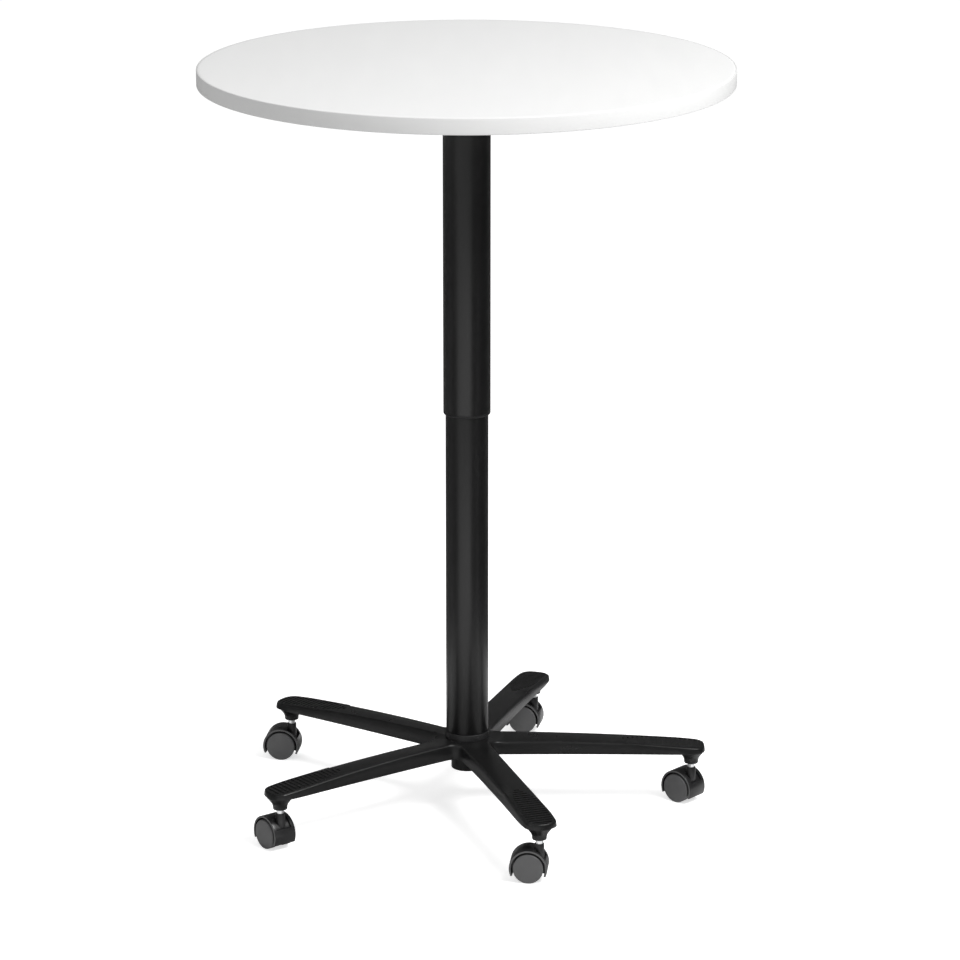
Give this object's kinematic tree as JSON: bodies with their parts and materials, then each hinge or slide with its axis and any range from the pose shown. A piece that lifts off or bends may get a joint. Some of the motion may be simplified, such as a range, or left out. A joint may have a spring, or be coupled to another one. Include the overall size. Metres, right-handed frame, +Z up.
{
  "type": "conference table",
  "caption": "Round standing-height conference table with a white top on a telescopic black column, a gas-spring lift with release lever, and a star base on swivel castors.",
  "frame": {"origin": "on the floor under the middle of the column", "axes": "+Z up through the column, +X along the right-hand arm of the base, +Y away from the viewer"},
  "size_m": [0.7619, 0.762, 1.103],
  "materials": {
    "board_white": "white melamine-faced board, satin",
    "band_white": "satin",
    "plate_black": "powder coated, satin",
    "column_black": "powder coated, satin",
    "casting_black": "powder coated, fine texture",
    "spring_black": "gloss",
    "screw_steel": "zinc plated",
    "bush_black": "moulded, satin",
    "piston_alloy": "machined",
    "bright_chrome": "polished",
    "buffer_rubber": "matt",
    "grip_black": "moulded, satin",
    "sleeve_nylon": "moulded",
    "hood_black": "moulded, satin",
    "wheel_black": "moulded, satin"
  },
  "bodies": {
    "base": {"star_base": "casting_black", "castor_grip_sleeves": "sleeve_nylon", "column_collar": "bush_black", "lower_tube": "column_black", "tube_end_bush": "bush_black", "column_foot": "piston_alloy", "piston_rod": "bright_chrome", "gas_piston": "piston_alloy", "end_stop_bumper": "buffer_rubber", "rod_washer": "screw_steel", "rod_clip": "screw_steel", "right_castor_stem": "bright_chrome", "back_castor_stem": "bright_chrome", "back_left_castor_stem": "bright_chrome", "front_left_castor_stem": "bright_chrome", "front_castor_stem": "bright_chrome"},
    "top": {"table_top_panel": "board_white", "table_edge_band": "band_white", "mounting_plate": "plate_black", "plate_screws": "screw_steel", "column_head": "casting_black", "upper_tube": "column_black", "column_mouth_bush": "bush_black", "gas_cylinder": "spring_black", "lever_pivot_pin": "screw_steel"},
    "lever": {"release_lever": "plate_black", "lever_grip": "grip_black"},
    "button": {"valve_button": "bright_chrome"},
    "right_castor": {"right_castor_hood": "hood_black", "right_castor_axle": "screw_steel"},
    "right_wheel_left": {"right_castor_wheel_left": "wheel_black"},
    "right_wheel_right": {"right_castor_wheel_right": "wheel_black"},
    "back_castor": {"back_castor_hood": "hood_black", "back_castor_axle": "screw_steel"},
    "back_wheel_left": {"back_castor_wheel_left": "wheel_black"},
    "back_wheel_right": {"back_castor_wheel_right": "wheel_black"},
    "back_left_castor": {"back_left_castor_hood": "hood_black", "back_left_castor_axle": "screw_steel"},
    "back_left_wheel_left": {"back_left_castor_wheel_left": "wheel_black"},
    "back_left_wheel_right": {"back_left_castor_wheel_right": "wheel_black"},
    "front_left_castor": {"front_left_castor_hood": "hood_black", "front_left_castor_axle": "screw_steel"},
    "front_left_wheel_left": {"front_left_castor_wheel_left": "wheel_black"},
    "front_left_wheel_right": {"front_left_castor_wheel_right": "wheel_black"},
    "front_castor": {"front_castor_hood": "hood_black", "front_castor_axle": "screw_steel"},
    "front_wheel_left": {"front_castor_wheel_left": "wheel_black"},
    "front_wheel_right": {"front_castor_wheel_right": "wheel_black"}
  },
  "joints": [
    {"name": "column_lift", "type": "slide", "parent": "base", "child": "top", "axis": [0, 0, 1], "range_m": [-0.34, 0]},
    {"name": "lever_press", "type": "hinge", "parent": "top", "child": "lever", "pos_m": [0.036, 0, 1.0672], "axis": [0, -1, 0], "range_deg": [0, 4]},
    {"name": "valve_press", "type": "slide", "parent": "top", "child": "button", "axis": [0, 0, -1], "range_m": [0, 0.0028], "stiffness_N_per_m": 8000},
    {"name": "right_castor_swivel", "type": "hinge", "parent": "base", "child": "right_castor", "pos_m": [0.331, 0, 0.0547], "axis": [0, 0, 1], "continuous": true},
    {"name": "right_wheel_left_roll", "type": "hinge", "parent": "right_castor", "child": "right_wheel_left", "pos_m": [0.31992, 0.0095, 0.0215], "axis": [-0.6508, -0.7593, 0], "continuous": true},
    {"name": "right_wheel_right_roll", "type": "hinge", "parent": "right_castor", "child": "right_wheel_right", "pos_m": [0.31992, 0.0095, 0.0215], "axis": [-0.6508, -0.7593, 0], "continuous": true},
    {"name": "back_castor_swivel", "type": "hinge", "parent": "base", "child": "back_castor", "pos_m": [0.10229, 0.3148, 0.0547], "axis": [0, 0, 1], "continuous": true},
    {"name": "back_wheel_left_roll", "type": "hinge", "parent": "back_castor", "child": "back_wheel_left", "pos_m": [0.088, 0.31783, 0.0215], "axis": [-0.2079, -0.9781, 0], "continuous": true},
    {"name": "back_wheel_right_roll", "type": "hinge", "parent": "back_castor", "child": "back_wheel_right", "pos_m": [0.088, 0.31783, 0.0215], "axis": [-0.2079, -0.9781, 0], "continuous": true},
    {"name": "back_left_castor_swivel", "type": "hinge", "parent": "base", "child": "back_left_castor", "pos_m": [-0.26778, 0.19456, 0.0547], "axis": [0, 0, 1], "continuous": true},
    {"name": "back_left_wheel_left_roll", "type": "hinge", "parent": "back_left_castor", "child": "back_left_wheel_left", "pos_m": [-0.28225, 0.19651, 0.0215], "axis": [-0.134, -0.991, 0], "continuous": true},
    {"name": "back_left_wheel_right_roll", "type": "hinge", "parent": "back_left_castor", "child": "back_left_wheel_right", "pos_m": [-0.28225, 0.19651, 0.0215], "axis": [-0.134, -0.991, 0], "continuous": true},
    {"name": "front_left_castor_swivel", "type": "hinge", "parent": "base", "child": "front_left_castor", "pos_m": [-0.26778, -0.19456, 0.0547], "axis": [0, 0, 1], "continuous": true},
    {"name": "front_left_wheel_left_roll", "type": "hinge", "parent": "front_left_castor", "child": "front_left_wheel_left", "pos_m": [-0.27673, -0.18302, 0.0215], "axis": [-0.7902, -0.6129, 0], "continuous": true},
    {"name": "front_left_wheel_right_roll", "type": "hinge", "parent": "front_left_castor", "child": "front_left_wheel_right", "pos_m": [-0.27673, -0.18302, 0.0215], "axis": [-0.7902, -0.6129, 0], "continuous": true},
    {"name": "front_castor_swivel", "type": "hinge", "parent": "base", "child": "front_castor", "pos_m": [0.10229, -0.3148, 0.0547], "axis": [0, 0, 1], "continuous": true},
    {"name": "front_wheel_left_roll", "type": "hinge", "parent": "front_castor", "child": "front_wheel_left", "pos_m": [0.08775, -0.3134, 0.0215], "axis": [-0.0958, -0.9954, 0], "continuous": true},
    {"name": "front_wheel_right_roll", "type": "hinge", "parent": "front_castor", "child": "front_wheel_right", "pos_m": [0.08775, -0.3134, 0.0215], "axis": [-0.0958, -0.9954, 0], "continuous": true}
  ],
  "couplings": [
    {"joint": "valve_press", "follows": "lever_press", "m_per_rad": 0.0392}
  ]
}
